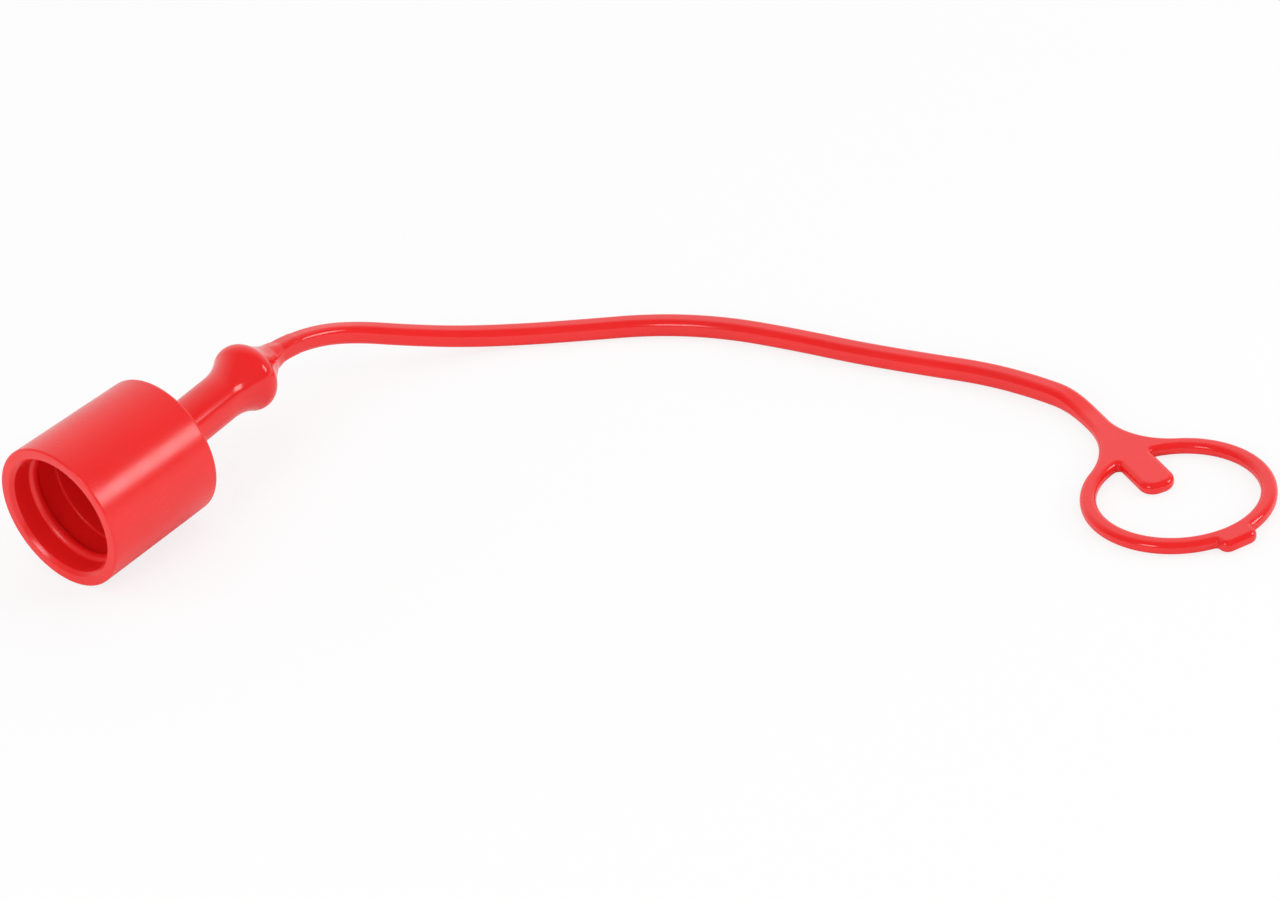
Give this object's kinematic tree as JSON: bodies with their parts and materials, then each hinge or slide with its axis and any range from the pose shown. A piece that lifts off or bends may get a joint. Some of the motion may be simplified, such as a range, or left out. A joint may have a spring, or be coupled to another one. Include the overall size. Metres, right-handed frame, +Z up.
{
  "type": "tethered thread protection cap",
  "caption": "Soft moulded cap with an inner snap bead, a neck with a knob, a long curved strap, and a flat tether ring with an inner tongue and a pull tab.",
  "frame": {"origin": "centre of the cup's mouth, on the bore's axis, in the plane of the flat lip", "axes": "-X out of the mouth along the bore's axis, +X towards the cup's back, +Z up from the table it lies on; the ring lies off towards -Y"},
  "size_m": [0.1442, 0.213, 0.0308],
  "materials": {
    "pvc": "soft red moulded PVC, satin on the cup and glossier on the strap and ring"
  },
  "bodies": {
    "root": {"protection_cap": "pvc"}
  },
  "joints": []
}
